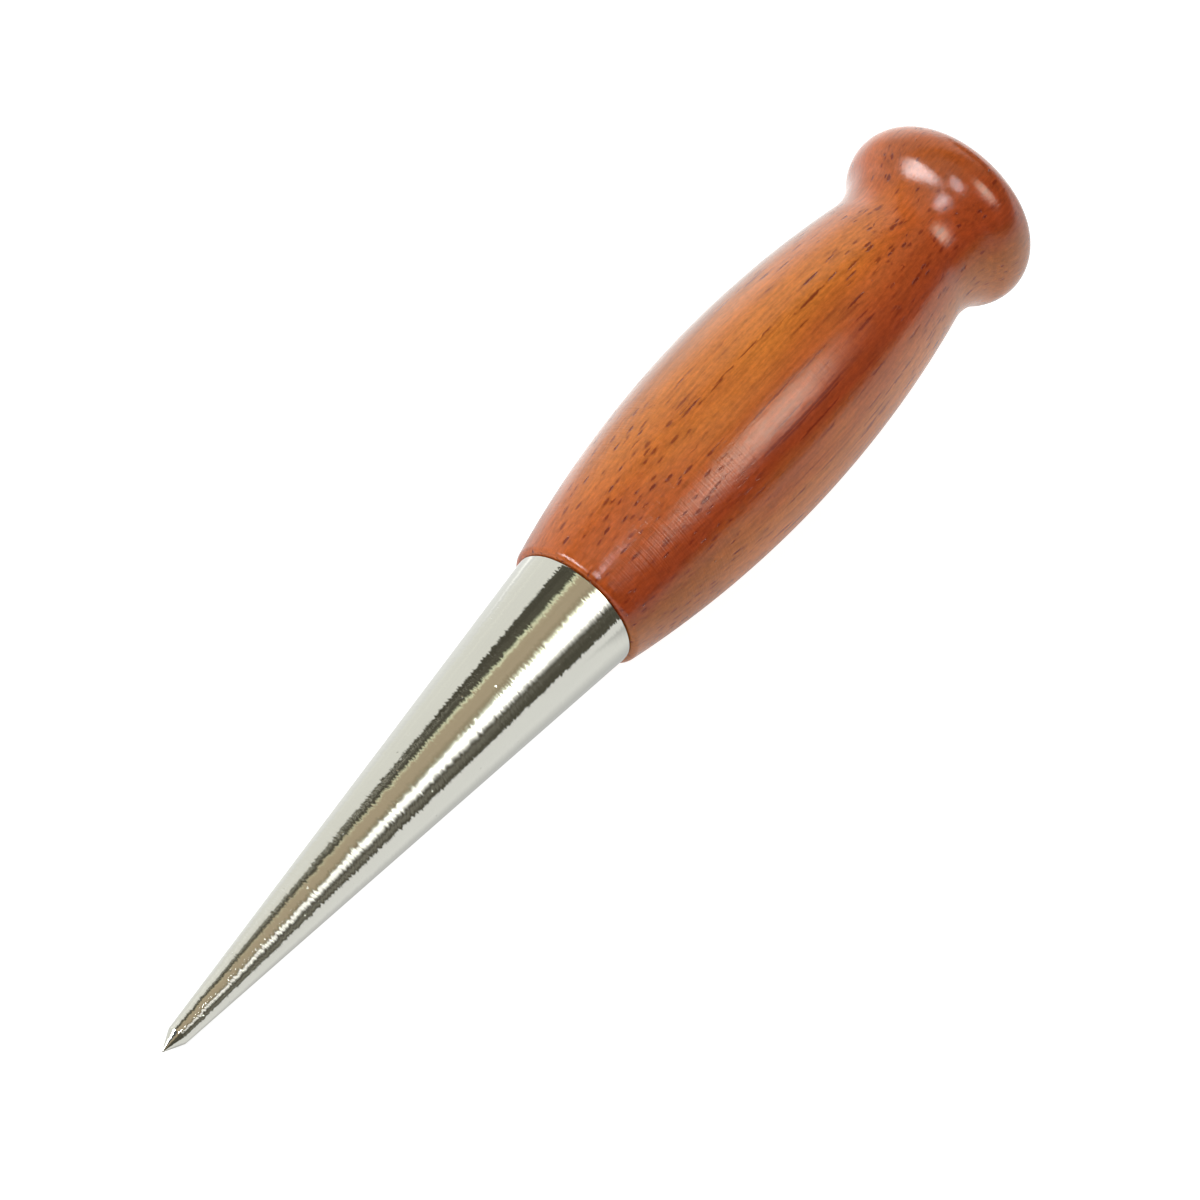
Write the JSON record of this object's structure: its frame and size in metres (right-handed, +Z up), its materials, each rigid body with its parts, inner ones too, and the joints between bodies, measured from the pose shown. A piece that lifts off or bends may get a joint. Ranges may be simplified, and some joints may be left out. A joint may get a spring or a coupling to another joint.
{
  "type": "bradawl",
  "caption": "Long round steel taper with a ground point, set in a turned hardwood handle with a barrel grip, hollow neck and domed knob, for starting and widening holes by hand.",
  "frame": {"origin": "on the bench, under the middle of the tool's box as it lies at rest", "axes": "+X from the tip towards the knob, along the bench under the tool; +Z up; +Y level and across the tool. The tool's own axis climbs 6.8 degrees from the tip to the knob, because it is drawn as it lies, on the shoulder of its point and on its barrel. It is round all along and rolls, so it has no rest of its own, and the clip at its neck holds it."},
  "size_m": [0.164, 0.0278, 0.0335],
  "materials": {
    "polished_steel": "polished, with fine turning marks round it",
    "turned_steel": "as turned",
    "epoxy": "hardened two-part glue",
    "lacquered_wood": "orange-brown stain under satin lacquer"
  },
  "bodies": {
    "root": {"spike": "polished_steel", "tang": "turned_steel", "glue": "epoxy", "handle": "lacquered_wood"}
  },
  "joints": []
}
